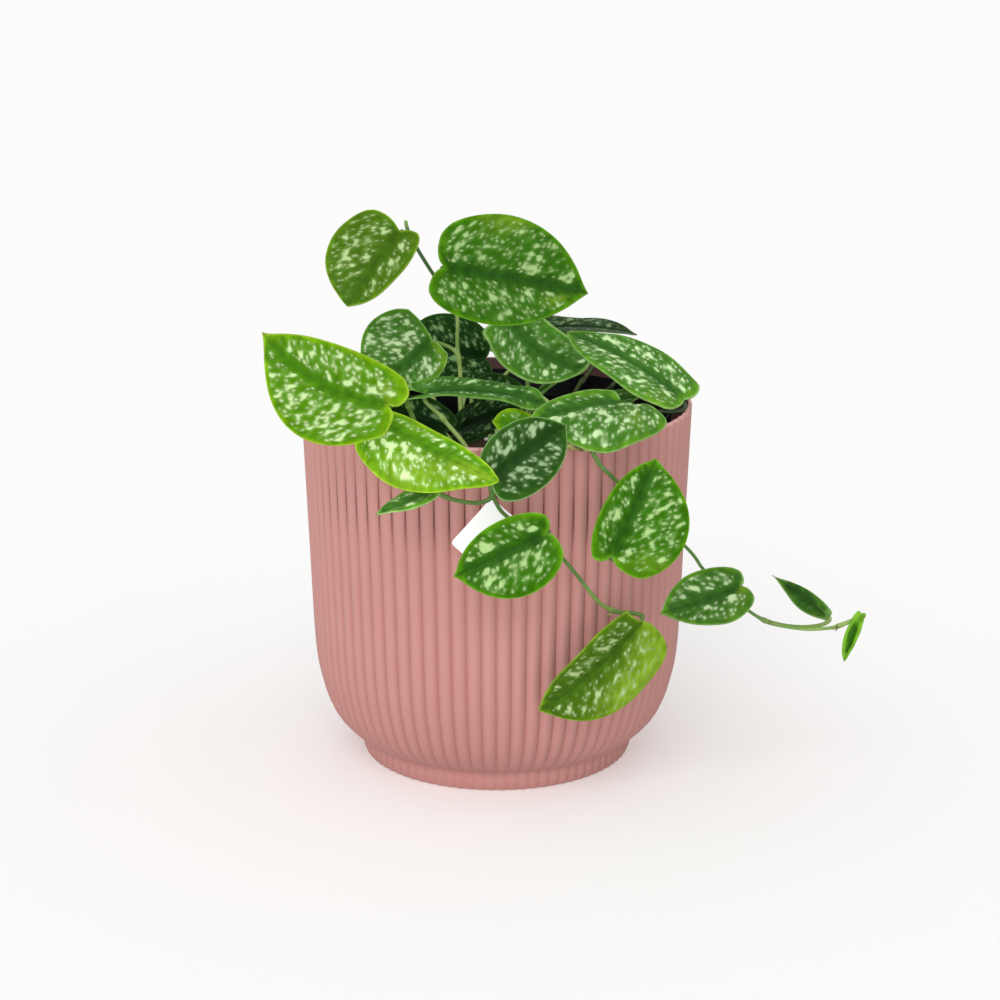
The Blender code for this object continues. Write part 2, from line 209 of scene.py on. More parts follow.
class Finish:
    def __init__(self, name, roughness=0.5, **settings):
        self.material = bpy.data.materials.new(name)
        self.material.use_nodes = True
        self.tree = self.material.node_tree
        self.shader = self.tree.nodes["Principled BSDF"]
        self.shader.inputs["Roughness"].default_value = roughness
        for key, value in settings.items():
            self.shader.inputs[key.replace("_", " ")].default_value = value

    def node(self, kind, settings=None, inputs=None, out=0):
        made = self.tree.nodes.new(kind)
        for key, value in (settings or {}).items():
            setattr(made, key, value)
        pairs = inputs.items() if isinstance(inputs, dict) else enumerate(inputs or [])
        for key, value in pairs:
            self.join(value, made.inputs[key])
        return Value(self, made.outputs[out])

    def join(self, value, socket):
        if isinstance(value, Value):
            self.tree.links.new(value.socket, socket)
        elif isinstance(value, (tuple, list)) and len(socket.default_value) == 4:
            socket.default_value = (*value[:3], 1.0)
        else:
            socket.default_value = value

    def places(self):
        return self.node("ShaderNodeTexCoord", out="Object")

    def attributes(self, *names):
        return [self.node("ShaderNodeAttribute", {"attribute_name": name}, out="Fac")
                for name in names]

    def split(self, vector):
        made = self.node("ShaderNodeSeparateXYZ", inputs=[vector])
        return [Value(self, made.socket.node.outputs[k]) for k in range(3)]

    def combine(self, x, y, z):
        return self.node("ShaderNodeCombineXYZ", inputs=[x, y, z])

    def noise(self, vector, scale, detail=2.0, roughness=0.5):
        return self.node("ShaderNodeTexNoise", inputs={
            "Vector": vector, "Scale": scale, "Detail": detail, "Roughness": roughness})

    def cells(self, vector, scale, dimensions="3D"):
        return self.node("ShaderNodeTexVoronoi", {"voronoi_dimensions": dimensions},
                         {"Vector": vector, "Scale": scale}, "Distance")

    def mix(self, share, first, second, blend="MIX"):
        made = self.node("ShaderNodeMix", {"data_type": "RGBA", "blend_type": blend},
                         {0: share, 6: first, 7: second})
        return Value(self, made.socket.node.outputs[2])

    def bump(self, height, distance, strength=1.0):
        normal = self.node("ShaderNodeBump", inputs={
            "Height": height, "Distance": distance, "Strength": strength})
        self.join(normal, self.shader.inputs["Normal"])

    def colour(self, value):
        self.join(value, self.shader.inputs["Base Color"])

    def rough(self, value):
        self.join(value, self.shader.inputs["Roughness"])


planter = {
    "outside": [(48.6, 0.0), (49.7, 3.0), (50.4, 7.0), (55.2, 11.0), (60.2, 17.0),
                (64.0, 27.0), (66.5, 42.0), (68.0, 78.0), (70.0, 131.0)],
    "inside": [(46.0, 3.4), (60.6, 24.0), (65.6, 60.0), (68.2, 131.0)],
    "outsideSteps": 64,
    "insideSteps": 14,
    "rimStart": 129.5,       # where the outside gives way to the rounded rim
    "rim": [(69.96, 129.9), (69.9, 130.4), (69.6, 130.8), (69.15, 131.0), (68.75, 130.95),
            (68.4, 130.65), (68.2, 130.1)],
    "underside": [(0.0, 0.55), (2.6, 0.55), (3.2, 0.0), (38.0, 0.0), (38.6, 0.5), (41.4, 0.5),
                  (42.0, 0.0), (47.4, 0.0), (48.3, 0.15)],
    "floor": [(45.4, 3.3), (30.0, 3.4), (0.0, 3.4)],
    "ribs": 80,
    "columns": 10,           # across one rib
    "ribDepth": 1.2,
    "ribFullness": 0.985,    # towards 1 the grooves get sharper
    "colour": (0.465, 0.222, 0.198),
    "grooveDustAndShade": (0.42, 0.185, 0.163),
    "edgeColour": (0.60, 0.34, 0.31),
    "footShadeColour": (0.40, 0.18, 0.160),
    "insideShadeColour": (0.05, 0.02, 0.02),
    "roughness": 0.55,
}


def smoothWall(points, steps):
    # the smooth curve through the points, without its ends
    places = [spline([(r, z, 0) for r, z in points], k / steps) for k in range(1, steps)]
    return [(p.x, p.y) for p in places]


def makePlanter():
    outer = smoothWall(planter["outside"], planter["outsideSteps"])
    outer = [(r, z) for r, z in outer if z < planter["rimStart"]]
    inner = smoothWall(planter["inside"], planter["insideSteps"])[::-1]
    profile = planter["underside"] + outer + planter["rim"] + inner + planter["floor"]
    pitch = 2 * pi / planter["ribs"]
    pot = spinProfile("planterBody", profile, planter["columns"], pitch)
    # one rib: the outer wall is drawn in towards both sides of the sector
    points = readPoints(pot.data)
    radius = np.hypot(points[:, 0], points[:, 1])
    height = points[:, 2] / mm
    turn = np.abs(np.arctan2(points[:, 1], points[:, 0]))
    across = np.clip(2 * turn / pitch - 1, -1, 1) * planter["ribFullness"]
    arc = (1 - np.sqrt(1 - across ** 2)) / (1 - sqrt(1 - planter["ribFullness"] ** 2))
    arc = 0.6 * arc + 0.4 * (1 - np.cos(pi * across)) / 2    # partly round, partly a wave
    outside = np.interp(height, *zip(*((z, r) for r, z in planter["outside"])))
    # the rim's inner half and the underside stay plain, and the ribs fade on the foot
    onWall = smoothstep(-1.25, -0.5, radius / mm - outside) * (radius > 0.047)
    arc *= onWall * (0.4 + 0.6 * smoothstep(5, 17, height))
    depth = planter["ribDepth"] * arc
    keep = radius > 1e-6
    points[keep, :2] *= (1 - depth[keep] * mm / radius[keep])[:, None]
    writePoints(pot.data, points)
    writeAttribute(pot.data, "crest", 1 - arc)
    # the other ribs are copies of the first, turned about the axis
    deselectAll()
    bpy.ops.object.empty_add(location=(0, 0, 0), rotation=(0, 0, pitch))
    turner = bpy.context.object
    addModifier(pot, "ARRAY", count=planter["ribs"], use_relative_offset=False,
                use_object_offset=True, offset_object=turner,
                use_merge_vertices=True, merge_threshold=0.00002)
    applyModifiers(pot)
    bpy.data.objects.remove(turner)
    closeSeams(pot, 0.00002)
    smoothShade(pot, 50)

    finish = Finish("planterPlastic", planter["roughness"], Specular_IOR_Level=0.25)
    place = finish.places()
    x, y, z = finish.split(place)
    crest, = finish.attributes("crest")
    cloud = finish.noise(place, 14.0, 3.0, 0.6)
    # the grooves are darker: partly dust, partly painted shade in the recesses
    colour = finish.mix(crest.step(0.1, 0.85), planter["grooveDustAndShade"], planter["colour"])
    colour = finish.mix(z.step(0.1296, 0.1306) * 0.75, colour, planter["edgeColour"])
    colour = finish.mix(cloud.step(0.35, 0.7) * 0.12, colour, planter["edgeColour"])
    # painted shade: the inner wall is darkened for the shade of the leaves above it
    within = 1 - (x * x + y * y + (0.13 - z) * 0.003).step(0.0684 ** 2, 0.0688 ** 2)
    colour = finish.mix(within * z.step(0.09, 0.11) * 0.93, colour, planter["insideShadeColour"])
    # painted shade: darker towards the foot, by the floor
    colour = finish.mix((1 - z.step(0.005, 0.06)) * 0.6, colour, planter["footShadeColour"])
    finish.colour(colour)
    grain = finish.noise(place, 2600.0, 2.0, 0.6)
    finish.rough(cloud * 0.12 + grain * 0.06 + (planter["roughness"] - 0.09))
    finish.bump(grain + finish.noise(place, 90.0, 2.0) * 2.0, 0.00004, 0.5)
    handOver(pot, "pot", finish.material, "pot")


makePlanter()
print("planter done")


nursery = {
    "underside": [(0.0, 4.3), (14.0, 4.3), (15.0, 3.8)],
    "outside": [(41.0, 4.0), (42.2, 3.8), (59.5, 116.2), (59.8, 117.0), (61.9, 117.6),
                (62.3, 118.2), (62.6, 126.9)],
    "rim": [(62.5, 127.6), (62.1, 128.0), (61.6, 127.9), (61.3, 127.4)],
    "inside": [(61.0, 118.8), (60.5, 118.2), (58.6, 117.0), (58.3, 116.1), (41.2, 5.2),
               (0.0, 5.2)],
    "drainRadius": 4.0,
    "drainCircle": 26.0,
    # the black plastic is darkened further as painted shade inside the planter
    "colour": (0.003, 0.003, 0.004),
    "dustColour": (0.012, 0.009, 0.006),
}


def makeNurseryPot():
    profile = nursery["underside"] + nursery["outside"] + nursery["rim"] + nursery["inside"]
    pot = spinProfile("nurseryPotShell", profile, 96)
    closeSeams(pot)
    cutters = []
    for quarter in range(4):
        turn = pi / 4 + quarter * pi / 2
        deselectAll()
        bpy.ops.mesh.primitive_cylinder_add(
            vertices=32, radius=nursery["drainRadius"] * mm, depth=0.008,
            location=(nursery["drainCircle"] * mm * cos(turn),
                      nursery["drainCircle"] * mm * sin(turn), 0.0045))
        cutters.append(bpy.context.object)
    cutter = joinPieces(cutters, "drainCutter")
    addModifier(pot, "BOOLEAN", operation="DIFFERENCE", object=cutter, solver="EXACT")
    applyModifiers(pot)
    bpy.data.objects.remove(cutter)
    smoothShade(pot, 40)

    finish = Finish("nurseryPlastic", 0.45, Specular_IOR_Level=0.05)
    place = finish.places()
    dust = finish.noise(place, 120.0, 4.0, 0.65)
    finish.colour(finish.mix(dust.step(0.5, 0.75) * 0.5, nursery["colour"], nursery["dustColour"]))
    finish.rough(dust * 0.4 + 0.25)
    finish.bump(finish.noise(place, 1500.0, 2.0), 0.00005, 0.5)
    handOver(pot, "nursery_pot", finish.material, "nursery_pot")


makeNurseryPot()
print("nursery pot done")


soil = {
    "rimHeight": 104.0,
    "radius": 55.9,          # of the domed top
    "dome": 3.0,
    "reach": 56.2,           # where the top meets the side
    "side": [(55.6, 102.0), (40.6, 5.6), (0.0, 5.6)],
    "spread": 54.5,          # grains lie within this
    "lumps": 1.1,            # height of the lumps on top
    "crumbs": 620,
    "chips": 110,
    "perlite": 70,
    # darkest and lightest of each
    # the potting mix colours are darkened further as painted shade under the leaves
    "colours": [(0.026, 0.015, 0.009), (0.08, 0.047, 0.026)],
    "chipColours": [(0.05, 0.024, 0.012), (0.13, 0.065, 0.03)],
    "perliteColours": [(0.42, 0.40, 0.36), (0.62, 0.6, 0.55)],
}


def soilTop(r):
    return soil["rimHeight"] + soil["dome"] * (1 - min(1.0, r / soil["radius"]) ** 2)


def soilFinish(name, dark, light, roughness=0.95):
    finish = Finish(name, roughness, Specular_IOR_Level=0.2)
    place = finish.places()
    patch = finish.noise(place, 160.0, 5.0, 0.65)
    grain = finish.noise(place, 900.0, 4.0, 0.7)
    finish.colour(finish.mix((patch * 0.6 + grain * 0.4).step(0.42, 0.66), dark, light))
    finish.bump(grain + finish.cells(place, 700.0) * 0.6, 0.0004, 0.9)
    return finish.material


def makeSoil():
    rings = [soil["reach"] * k / 44 for k in range(45)]
    body = spinProfile("soilBody", [(r, soilTop(r)) for r in rings] + soil["side"], 150)
    closeSeams(body)
    clouds = bpy.data.textures.new("soilLumps", "CLOUDS")
    clouds.noise_scale, clouds.noise_depth = 0.006, 4
    group = body.vertex_groups.new(name="top")
    group.add([v.index for v in body.data.vertices
               if v.co.z > soil["rimHeight"] * mm and v.co.xy.length < soil["radius"] * mm],
              1.0, "REPLACE")
    addModifier(body, "DISPLACE", texture=clouds, texture_coords="GLOBAL", direction="Z",
                strength=2 * soil["lumps"] * mm, mid_level=0.55, vertex_group="top")
    applyModifiers(body)
    smoothShade(body)
    handOver(body, "soil", soilFinish("pottingMix", *soil["colours"]), "soil")


def scatter(name, count, seed, sizes, squash, finish, rise=0.1):
    # one rough grain, copied over the soil with its own size and turn each time
    draw = random.Random(seed)
    deselectAll()
    bpy.ops.mesh.primitive_ico_sphere_add(subdivisions=1, radius=1)
    grain = bpy.context.object
    copies = []
    for _ in range(count):
        copy = copyPiece(grain)
        for vertex in copy.data.vertices:
            vertex.co *= draw.uniform(0.72, 1.2)
        size = draw.uniform(*sizes) * mm / 2
        r, turn = soil["spread"] * sqrt(draw.random()), draw.uniform(0, 2 * pi)
        copy.scale = [size * draw.uniform(low, high) for low, high in squash]
        copy.rotation_euler = (draw.uniform(-0.5, 0.5), draw.uniform(-0.5, 0.5),
                               draw.uniform(0, 2 * pi))
        copy.location = (r * mm * cos(turn), r * mm * sin(turn), (soilTop(r) + rise) * mm)
        copies.append(copy)
    bpy.data.objects.remove(grain)
    piece = joinPieces(copies, name)
    pick(piece)
    bpy.ops.object.transform_apply(location=True, rotation=True, scale=True)
    smoothShade(piece, 30)
    handOver(piece, "soil", finish)


makeSoil()
even = [(0.8, 1.2)] * 3
scatter("soilCrumbs", soil["crumbs"], 3, (1.0, 3.4), even,
        soilFinish("soilCrumb", *soil["colours"]))
scatter("barkChips", soil["chips"], 5, (2.5, 6.0), [(0.9, 1.6), (0.5, 0.9), (0.18, 0.35)],
        soilFinish("bark", *soil["chipColours"], 0.8), rise=0.4)
scatter("perliteGrains", soil["perlite"], 7, (1.2, 2.6), even,
        soilFinish("perlite", *soil["perliteColours"], 0.9), rise=0.3)
print("soil done")


label = {
    "size": (26.0, 21.0, 0.42),
    "centre": (1.3, -70.2, 97.5),
    "turn": 41.0,
    "corner": 1.2,
    "bow": 0.9,
    "colour": (0.98, 0.98, 0.985),
    "fibreColour": (0.9, 0.9, 0.91),
}


def makeLabel():
    width, tall, thick = (s * mm for s in label["size"])
    deselectAll()
    bpy.ops.mesh.primitive_grid_add(x_subdivisions=26, y_subdivisions=21, size=1)
    card = bpy.context.object
    card.name = "labelCard"
    bpy.ops.transform.resize(value=(width, tall, 1))
    bpy.ops.object.transform_apply(location=True, rotation=True, scale=True)
    corner = label["corner"] * mm
    for vertex in card.data.vertices:          # rounded corners
        dx = abs(vertex.co.x) - (width / 2 - corner)
        dy = abs(vertex.co.y) - (tall / 2 - corner)
        gap = sqrt(dx * dx + dy * dy)
        if dx > 0 and dy > 0 and gap > corner:
            vertex.co.x -= (1 - corner / gap) * dx * (1 if vertex.co.x > 0 else -1)
            vertex.co.y -= (1 - corner / gap) * dy * (1 if vertex.co.y > 0 else -1)
        vertex.co.z = -label["bow"] * mm * (2 * vertex.co.x / width) ** 2
    addModifier(card, "SOLIDIFY", thickness=thick, offset=0.0)
    addModifier(card, "BEVEL", width=0.00008, segments=2, limit_method="ANGLE")
    applyModifiers(card)
    card.rotation_euler = (pi / 2, radians(label["turn"]), 0)
    card.location = [c * mm for c in label["centre"]]
    pick(card)
    bpy.ops.object.transform_apply(location=True, rotation=True, scale=True)
    smoothShade(card, 40)
    finish = Finish("labelCardStock", 0.45)
    place = finish.places()
    fibre = finish.noise(place, 700.0, 3.0, 0.6)
    finish.colour(finish.mix(fibre.step(0.45, 0.7) * 0.35, label["colour"],
                             label["fibreColour"]))
    finish.rough(fibre * 0.2 + 0.35)
    finish.bump(fibre, 0.00003, 0.5)
    handOver(card, "label", finish.material, "plant_label")


makeLabel()
print("label done")


blade = {
    "rows": 46,
    "halfColumns": 15,
    "thickness": 0.45,
    # one margin, from the notch to the tip: lengths along, half widths out
    "margin": [(0.0, 0.0), (-0.062, 0.14), (-0.085, 0.36), (-0.066, 0.60), (0.06, 0.84),
               (0.22, 0.97), (0.40, 1.0), (0.58, 0.92), (0.74, 0.73), (0.87, 0.44),
               (0.95, 0.17), (1.0, 0.0)],
    "veinGap": 4.4,          # between side veins
    "veinRelief": 0.10,
    "midribDepth": 0.28,
    "midribWidth": 0.9,
    "ripple": 0.55,          # waves along the margin
    "curl": 0.055,           # how far the margin turns down, of the length
    "paleGreen": (0.205, 0.355, 0.018),     # where a blade glows
}
# the silver marks: lengths across a cluster, a patch, a spot and its ragged outline
silverMarks = {
    "cluster": 7.0,
    "patch": (2.7, 2.9),
    "spot": (2.5, 2.6),
    "ragged": 1.8,
    "slant": 0.45,           # how far the marks lean towards the tip
    "ribClear": (0.8, 2.8),  # from the midrib: bare, fully marked
    "rimClear": (0.6, 2.0),  # from the margin
}

# colours: heart is along the midrib, field the blade, rim towards the margin, line the
# thin pale margin itself and under the lower face
leafLooks = {
    "lime": dict(heart=(.052, .175, .006), field=(.088, .25, .004), rim=(.16, .35, .005),
                 line=(.28, .44, .03), silver=(.46, .63, .28), rimWidth=2.0,
                 under=(.17, .30, .05)),
    "fresh": dict(heart=(.017, .072, .005), field=(.033, .135, .002), rim=(.062, .20, .002),
                  line=(.12, .28, .02), silver=(.28, .43, .16), rimWidth=1.9,
                  under=(.11, .23, .04)),
    "olive": dict(heart=(.040, .105, .006), field=(.058, .142, .005), rim=(.085, .19, .005),
                  line=(.20, .32, .03), silver=(.33, .45, .19), rimWidth=1.8,
                  under=(.12, .22, .05)),
    "deep": dict(heart=(.010, .041, .006), field=(.018, .066, .007), rim=(.03, .10, .008),
                 line=(.17, .29, .11), silver=(.24, .36, .18), rimWidth=2.2,
                 under=(.07, .15, .05)),
    "grey": dict(heart=(.026, .090, .012), field=(.048, .152, .015), rim=(.078, .21, .012),
                 line=(.18, .31, .09), silver=(.37, .51, .26), rimWidth=2.0,
                 under=(.09, .19, .06)),
    "plain": dict(heart=(.016, .058, .008), field=(.027, .090, .009), rim=(.045, .13, .012),
                  line=(.12, .24, .06), silver=(.22, .34, .15), rimWidth=2.2,
                  under=(.07, .16, .04)),
    # shade: near-black leaves inside the crown, coloured as painted shade of the interior
    "shade": dict(heart=(.003, .014, .002), field=(.006, .027, .003), rim=(.01, .04, .004),
                  line=(.03, .08, .02), silver=(.10, .18, .07), rimWidth=2.0,
                  under=(.02, .05, .01)),
}


def leaf(base, tip, faces, width=0.8, skew=0.0, fold=12, arch=20, look="fresh", **more):
    # base is the notch and faces the side that the blade's upper face looks to. skew moves
    # width from one half to the other, lobe is the reach behind the notch, lean moves that
    # reach to one side, round turns the base end towards an ellipse, sway is a sideways bow,
    # full rounds the outline above 0 and draws it to points below, wave lifts the middle of
    # both margins by so many mm and drops their ends, cover is the share of silver, tone the
    # brightness, edge the width of the pale margin, and glow lists paler places as along,
    # across, size, strength
    rest = dict(ripple=1.0, lobe=1.0, lean=0.0, round=0.0, sway=0.0, full=0.0, wave=0.0,
                cover=0.4, tone=1.0, edge=0.5, glow=[])
    return dict(base=base, tip=tip, faces=faces, width=width, skew=skew, fold=fold, arch=arch,
                look=look, **{**rest, **more})


leaves = {
    # crown
    "crown_1": leaf((-33.7, -6, 192.9), (-51.8, -22, 169.3), (-.2, -.9, .35), .85, -.29,
        look="olive", lobe=.72, full=.2),
    "crown_2": leaf((-18.4, -10, 180.9), (31.7, -22, 173.8), (.05, -.9, .35), .75, .1,
        glow=[(.35, 1, .3, .5), (.8, -.5, .15, .5)], cover=.4, tone=.88, lobe=.72, full=-.07),
    # left
    "left_1": leaf((-35.8, -71, 146.1), (-76.1, -77, 172.1), (-.4, -.85, .35), .7, .12, arch=6,
        tone=.95, look="lime", cover=.62, glow=[(.05, -.6, .12, .7)], lobe=1.01, full=-.25,
        sway=.1),
    "left_2": leaf((-38.6, -57, 137.5), (.9, -90, 125.2), (0, -.54, .82), .44, -.43, arch=8,
        look="lime", cover=.6, tone=1.15,
        glow=[(.9, 0, .35, .8), (.5, -.8, .5, .6), (.2, .6, .3, .4)], lobe=.55, full=.28,
        sway=-.03),
    # left_3 lies in the shadow of left_2; its high tone is painted light
    "left_3": leaf((-20, -77, 118.6), (-39.7, -82, 111.6), (-.34, -.11, .88), .78, .05, arch=5,
        look="grey", cover=.4, tone=1.6, lobe=.69, full=-.2, sway=.02),
    "left_4": leaf((-22.8, -4, 153.6), (-46.6, -20, 140), (-.1, -.85, .5), 1.01, -.26,
        look="grey", cover=.65, glow=[(.1, .8, .2, .35)], lobe=.21, full=-.31, sway=.07),
    # front
    "front_1": leaf((-1, -80.4, 123.8), (23.2, -71.5, 139.6), (.25, -.85, .45), .78, -.1,
        look="deep", cover=.5, lobe=.98, full=-.03, sway=.03),
    "front_2": leaf((42.3, -46.5, 141.8), (11, -63, 138.5), (.07, -.39, .78), .74, .54,
        look="grey", cover=.6, tone=1.15, glow=[(.05, .6, .25, .35)], lobe=1.75, lean=1,
        full=.35),
    "front_3": leaf((-24.2, -34, 141.7), (17.5, -41, 138.9), (0, -.3, .95), .36, .09, fold=18,
        arch=24, look="plain", wave=1, ripple=1.5, cover=.25, tone=1.5, lobe=1.89, full=.48,
        sway=.03),
    "front_4": leaf((11.5, -44.9, 131), (-1.5, -49, 135), (0, -.7, .7), .9, look="lime",
        cover=.2),
    # right
    "right_1": leaf((65.7, -21, 135.9), (25.1, 3, 154.9), (.17, -.26, .91), .61, .1, arch=6,
        look="grey", cover=.52, tone=1.3, glow=[(.1, .8, .3, .3)], lobe=.47, round=.12, full=.15,
        sway=-.07),
    "right_2": leaf((5.2, 24, 154.6), (32.4, 0, 142), (-.2, -.68, .68), .62, -.1, arch=10,
        look="grey", cover=.2, edge=1.0, tone=1.28, lobe=1.77, full=.5, sway=-.11),
    "right_3": leaf((16, 27, 151), (52, 35, 147), (.1, 0, 1), .8, look="deep", tone=.7),
    "right_4": leaf((34, -26, 122.7), (57, -38, 134.5), (-.1, -.4, .9), .7, look="grey"),
    # trailing
    "trail_1": leaf((16.4, -82, 105.4), (-14.2, -84, 91), (0, -.9, .25), .77, .22, cover=.56,
        lobe=.89, full=-.12, tone=1.05),
    "trail_2": leaf((50.2, -61.1, 67.8), (14.3, -74, 40), (.3, -.87, -.1), .65, .26, 15, 10,
        look="olive", glow=[(.15, 1, .5, .9), (.5, 1, .35, .6)], lobe=.3, lean=.9, round=.4,
        full=.08, sway=.04),
    "trail_3": leaf((38.6, -72, 94.4), (53.2, -66, 126.7), (.1, -.95, .3), .85, -.35, cover=.46,
        glow=[(.1, -.8, .25, .4)], lobe=1.07, tone=1.06),
    "trail_4": leaf((83.8, -58, 79.3), (55.4, -68, 72.7), (0, -.65, .75), .72, .05, look="grey",
        cover=.5, tone=.92, glow=[(0, .5, .2, .5), (.3, .9, .25, .3)], lobe=.76, full=-.12,
        sway=.03),
    "trail_5": leaf((115.8, -46, 64.8), (96.1, -40, 77.5), (.2, -.8, .5), .29, .23, fold=20,
        look="plain", cover=.1, lobe=.3, full=-.9),
    "trail_6": leaf((127, -45, 64), (121, -50, 49), (-.6, -.8, .2), .3, fold=40, look="fresh",
        tone=1.3, edge=1.1),
    # inner
    "inner_1": leaf((-18, -24, 125.2), (-40, -16, 132), (-.1, -.5, .8), look="shade"),
    "inner_2": leaf((-14, -14, 123), (8, -22, 133), (.1, -.5, .8), look="shade", tone=.6),
    "inner_3": leaf((8, -5, 130), (-8, 1.5, 138), (0, -.6, .7), look="shade"),
    "inner_4": leaf((-4, 22, 141), (-34, 10, 150), (.1, -.7, .7), .88, look="shade", tone=1.5,
        lobe=.6, cover=.35),
    # back
    "back_1": leaf((-40, 20, 136), (-70, 36, 132), (-.3, .1, .9), look="fresh"),
    "back_2": leaf((-24, 46, 140), (-36, 84, 130), (-.2, .35, .9), .82, look="lime"),
    "back_3": leaf((8, 48, 138), (14, 86, 130), (0, .4, .9), look="fresh"),
    "back_4": leaf((38, 42, 138), (50, 76, 126), (.3, .5, .8), look="deep"),
    "back_5": leaf((44, 14, 136), (68, 32, 133), (.3, .1, .9), .75, look="fresh"),
    "back_6": leaf((-46, -4, 138), (-76, 4, 134), (-.3, 0, .9), .7, look="grey"),
    "back_7": leaf((-18, 81, 114), (-44, 78, 98), (-.15, .95, .3), look="fresh"),
    "back_8": leaf((-5, 82, 100), (20, 83, 82), (.1, .95, .3), .8, look="grey"),
    "back_9": leaf((-3, 78, 75), (-10, 82, 44), (.1, .95, 0), .78, look="lime"),
    # low, over the soil
    "low_1": leaf((-9, 46, 121), (-22, 45, 131), (-.2, .2, .95), .75, look="deep"),
    "low_2": leaf((13, 44, 119), (30, 47, 132), (.1, .1, .95), .78, look="grey"),
    "low_3": leaf((-34, 6, 121), (-50, -16, 128), (-.2, -.3, .9), .75, look="deep"),
    "low_4": leaf((30, 4, 125), (53, 6, 131), (.1, -.2, .95), .7, look="grey"),
}


def bladeAxes(spec):
    along = (Vector(spec["tip"]) - Vector(spec["base"])).normalized()
    out = Vector(spec["faces"])
    out = (out - along * out.dot(along)).normalized()
    return along, out.cross(along), out


def makeMasterBlade():
    # a flat square grid; shapeBlade gives each copy its outline and bends it into place
    deselectAll()
    bpy.ops.mesh.primitive_grid_add(
        x_subdivisions=blade["rows"], y_subdivisions=2 * blade["halfColumns"], size=2)
    master = bpy.context.object
    master.name = master.data.name = "masterBlade"
    return master


def veinStart(x, y, length):
    # where the side vein through a point leaves the midrib
    start = x.copy()
    for _ in range(8):
        lean = -0.35 + 0.97 * smoothstep(-0.05 * length, 0.32 * length, start)
        start = x - lean * y - 0.22 * y * y / length
    return start


def shapeBlade(mesh, spec, seed):
    grid = readPoints(mesh)
    u = (grid[:, 0] + 1) / 2
    v = grid[:, 1]
    side = np.where(v >= 0, 1.0, -1.0)
    share = np.abs(v) ** 1.2                      # finer columns by the midrib
    chord = (Vector(spec["tip"]) - Vector(spec["base"])).length
    bend = radians(spec["arch"])
    length = chord * (bend / 2) / sin(bend / 2)
    rows = {}
    for value in np.unique(np.round(u, 5)):
        point = spline([(x, y, 0) for x, y in blade["margin"]], float(value))
        rows[value] = (point.x, point.y)
    edge = np.array([rows[value] for value in np.round(u, 5)])
    # each half's own reach behind the notch; a long one ends broad
    lobes = spec["lobe"] * (1 + side * spec["lean"])
    rounding = spec["round"] * np.minimum(1, 1 - side * spec["lean"])
    oval = np.where((u < 0.5) & (edge[:, 0] < 0.4),
                    0.4 * (1 - np.sqrt(np.maximum(0, 1 - edge[:, 1] ** 2))) - edge[:, 0], 0)
    broad = np.maximum(0, lobes - 1) * 0.09 * (1 - np.minimum(1, edge[:, 1]) ** 6)
    broad *= (u < 0.5) * np.clip(edge[:, 1] / 0.14, 0, 1)
    edge[:, 0] *= np.where(edge[:, 0] < 0, np.minimum(lobes, 1), 1.0)
    edge[:, 0] += rounding * oval - broad
    half = np.maximum(edge[:, 1], 0) ** (1 - spec["full"])
    half *= spec["width"] * length / 2 * (1 + side * spec["skew"])
    x = (u * (1 - share) + edge[:, 0] * share) * length
    y = side * share * half
    start = veinStart(x, np.abs(y), length)
    glow = np.zeros(len(u))
    for place, reach, size, strength in spec["glow"]:
        gap = ((x / length - place) ** 2 + (0.5 * (side * share - reach)) ** 2) / size ** 2
        glow += strength * np.exp(-2 * gap)
    # what the finish reads: distances in mm, and values that are one for the whole leaf
    marks = {"rimGap": np.minimum((1 - share) * half, np.abs(length - x) * 0.6),
             "ribGap": np.abs(y), "seed": seed, "veinStart": start, "alongBlade": x,
             "acrossBlade": y, "silverShare": spec["cover"], "tone": spec["tone"],
             "edgeWidth": spec["edge"], "glow": np.minimum(glow, 1)}
    for name, values in marks.items():
        writeAttribute(mesh, name, np.broadcast_to(values, len(u)))

    draw = random.Random(seed)
    waves = []
    for _ in range(2):                            # one half, then the other
        a, b, c = (draw.uniform(0, 2 * pi) for _ in range(3))
        run = u * 2 * pi
        waves.append(np.sin(1.6 * run + a) + 0.6 * np.sin(2.7 * run + b)
                     + 0.3 * np.sin(4.6 * run + c))
    wave = np.where(side < 0, *waves)
    away = np.abs(y) / (spec["width"] * length / 2)
    crease = 0.04 * length                        # the fold is rounded over this
    lift = np.tan(radians(spec["fold"])) * (np.sqrt(y * y + crease ** 2) - crease)
    lift -= blade["curl"] * length * away ** 3.2
    lift += (blade["ripple"] * spec["ripple"] * length / 40 * wave * share ** 2.2
             * np.minimum(1, away * 1.6))
    lift -= spec["wave"] * np.cos(2.2 * pi * u) * share ** 2
    ribs = np.cos(2 * pi * start / blade["veinGap"])
    lift += (blade["veinRelief"] * ribs * smoothstep(0.8, 3.5, np.abs(y))
             * smoothstep(0, 3.0, (1 - share) * half))
    lift -= (blade["midribDepth"] * np.exp(-(y / blade["midribWidth"]) ** 2)
             * smoothstep(1.05, 0.5, u))
    turn = bend * (x / length - 0.5)
    radius = length / bend
    bentX = radius * (np.sin(turn) + sin(bend / 2)) + lift * np.sin(turn)
    bentZ = radius * (np.cos(turn) - cos(bend / 2)) + lift * np.cos(turn)
    along, across, out = (np.array(axis) for axis in bladeAxes(spec))
    inward = np.clip(x / length, 0, 1)
    y = y + spec["sway"] * length * 4 * inward * (1 - inward)
    points = (np.array(spec["base"]) + bentX[:, None] * along + y[:, None] * across
              + bentZ[:, None] * out)
    writePoints(mesh, points * mm)


